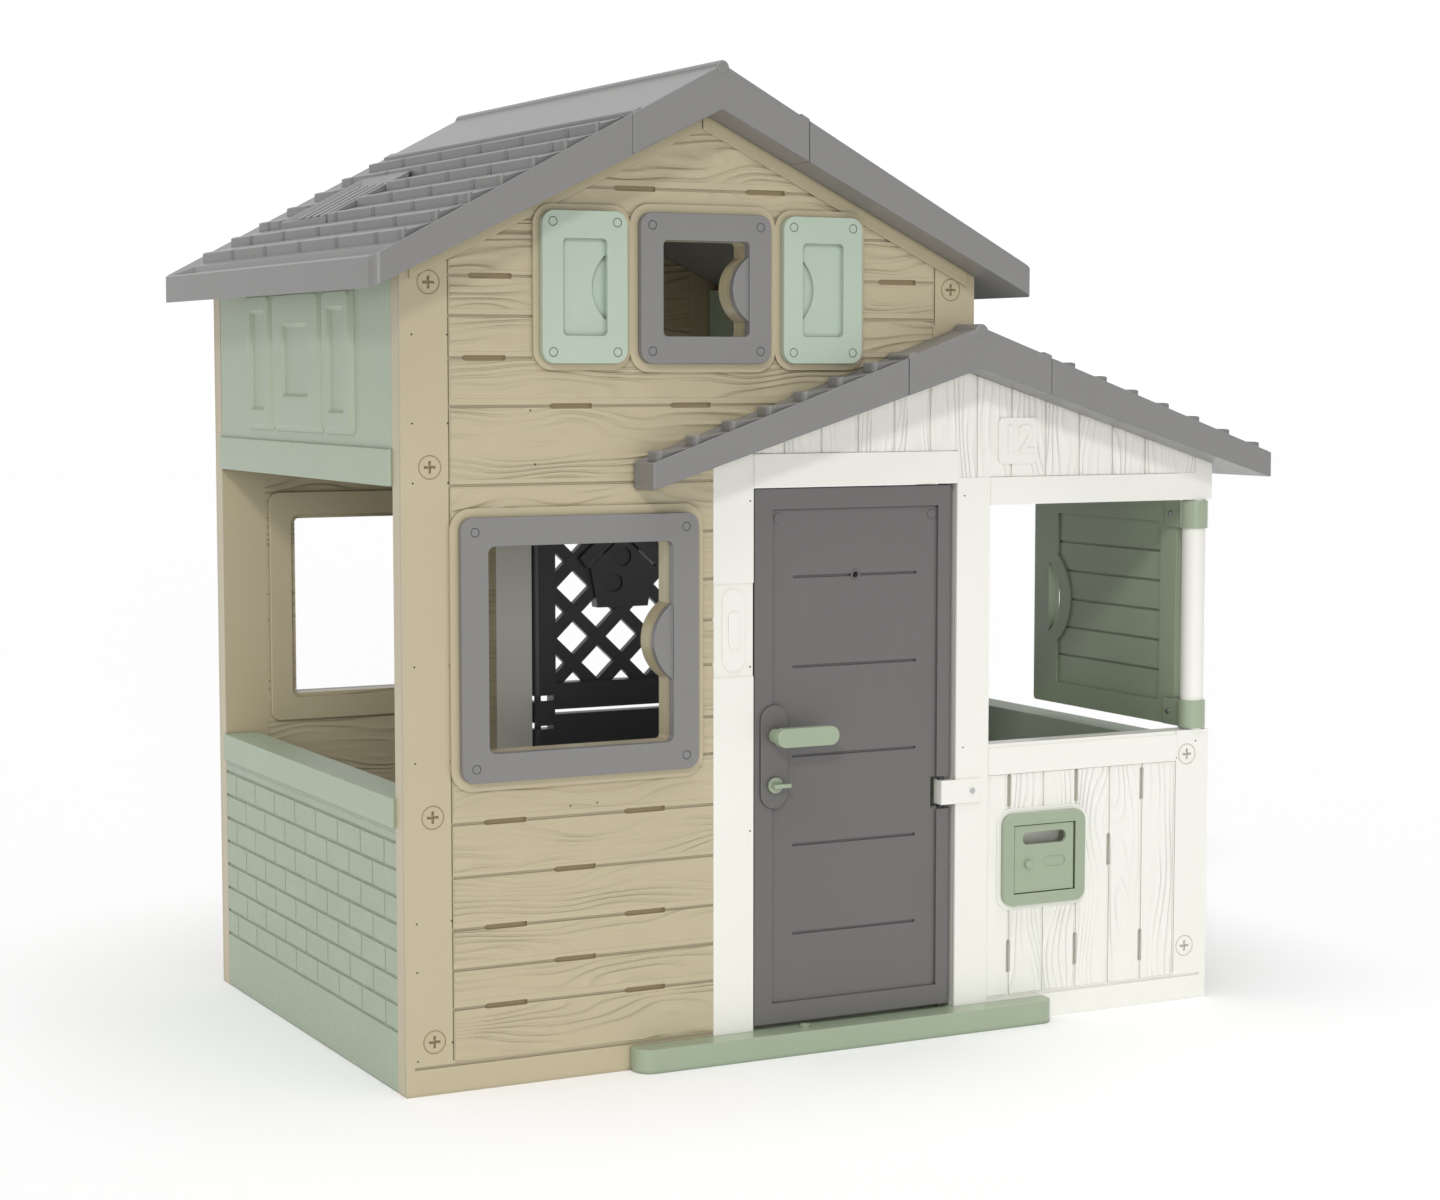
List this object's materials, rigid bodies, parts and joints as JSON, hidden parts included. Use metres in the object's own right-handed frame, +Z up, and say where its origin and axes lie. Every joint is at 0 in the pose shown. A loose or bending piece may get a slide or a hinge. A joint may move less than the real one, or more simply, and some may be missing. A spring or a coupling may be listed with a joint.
{
  "type": "plastic playhouse",
  "caption": "Child's plastic playhouse: gabled main house with loft window, lower annexe, hinged front door, split rear door, letterbox, window openings and a swinging side shutter.",
  "frame": {"origin": "middle of the footprint of the whole object's box, on the ground", "axes": "+X along the front from the main house to the annexe, +Y from the front wall to the rear wall, +Z up"},
  "size_m": [1.796, 1.166, 1.72],
  "materials": {
    "tan_plastic": "moulded, fine satin",
    "white_plastic": "moulded, fine satin",
    "sage_plastic": "moulded, soft gloss",
    "pale_sage_plastic": "moulded, fine stipple",
    "roof_plastic": "moulded, fine satin",
    "door_plastic": "moulded, fine stipple",
    "charcoal_plastic": "moulded, fine stipple",
    "steel": "zinc plated"
  },
  "bodies": {
    "house": {"front_lower_panel": "tan_plastic", "rear_lower_panel": "tan_plastic", "front_upper_panel": "tan_plastic", "rear_upper_panel": "tan_plastic", "tan_screws": "tan_plastic", "front_door_frame": "white_plastic", "rear_door_frame": "white_plastic", "annexe_front_panel": "white_plastic", "annexe_rear_panel": "white_plastic", "white_screws": "white_plastic", "corner_tube_front": "white_plastic", "corner_tube_rear": "white_plastic", "front_hinge_clip": "white_plastic", "left_low_wall": "sage_plastic", "annexe_low_wall": "sage_plastic", "left_fascia_panel": "sage_plastic", "right_fascia_panel": "sage_plastic", "front_threshold": "sage_plastic", "rear_threshold": "sage_plastic", "letterbox_frame": "sage_plastic", "gable_shutter_left": "pale_sage_plastic", "gable_shutter_right": "pale_sage_plastic", "gable_shutter_pins": "pale_sage_plastic", "main_roof_left": "roof_plastic", "main_roof_right": "roof_plastic", "main_ridge_cap": "roof_plastic", "annexe_roof": "roof_plastic", "annexe_ridge_infill": "roof_plastic", "annexe_ridge_cap_front": "roof_plastic", "annexe_ridge_cap_rear": "roof_plastic", "porch_roof_front": "roof_plastic", "porch_roof_rear": "roof_plastic", "front_window_frame": "roof_plastic", "rear_window_frame": "roof_plastic", "gable_window_frame": "roof_plastic", "frame_pins": "roof_plastic", "rear_hinge_clip": "charcoal_plastic", "clip_screws": "steel"},
    "front_door": {"front_door": "door_plastic", "front_door_pins": "door_plastic", "handle_plate": "door_plastic"},
    "door_handle": {"door_handle": "sage_plastic"},
    "door_key": {"door_key": "sage_plastic"},
    "rear_lower_door": {"rear_lower_door": "charcoal_plastic", "rear_lower_pin": "charcoal_plastic"},
    "rear_upper_door": {"rear_upper_door": "charcoal_plastic", "rear_upper_pin": "charcoal_plastic"},
    "letterbox_door": {"letterbox_door": "sage_plastic"},
    "side_shutter": {"side_shutter": "sage_plastic", "shutter_collar_low": "sage_plastic", "shutter_collar_high": "sage_plastic", "collar_screws": "steel"}
  },
  "joints": [
    {"name": "front_door_hinge", "type": "hinge", "parent": "house", "child": "front_door", "pos_m": [0.2275, -0.485, 0.44], "axis": [0, 0, 1], "range_deg": [0, 95]},
    {"name": "handle_turn", "type": "hinge", "parent": "front_door", "child": "door_handle", "pos_m": [-0.129, -0.505, 0.566], "axis": [0, 1, 0], "range_deg": [0, 40]},
    {"name": "key_turn", "type": "hinge", "parent": "front_door", "child": "door_key", "pos_m": [-0.129, -0.505, 0.478], "axis": [0, 1, 0], "range_deg": [0, 90]},
    {"name": "rear_lower_hinge", "type": "hinge", "parent": "house", "child": "rear_lower_door", "pos_m": [-0.1495, 0.485, 0.27], "axis": [0, 0, 1], "range_deg": [0, 95]},
    {"name": "rear_upper_hinge", "type": "hinge", "parent": "house", "child": "rear_upper_door", "pos_m": [-0.1495, 0.485, 0.75], "axis": [0, 0, 1], "range_deg": [0, 95]},
    {"name": "letterbox_hinge", "type": "hinge", "parent": "house", "child": "letterbox_door", "pos_m": [0.4985, -0.513, 0.305], "axis": [0, 0, 1], "range_deg": [0, 100]},
    {"name": "shutter_hinge", "type": "hinge", "parent": "house", "child": "side_shutter", "pos_m": [0.792, -0.485, 0.742], "axis": [0, 0, -1], "range_deg": [0, 165]}
  ]
}
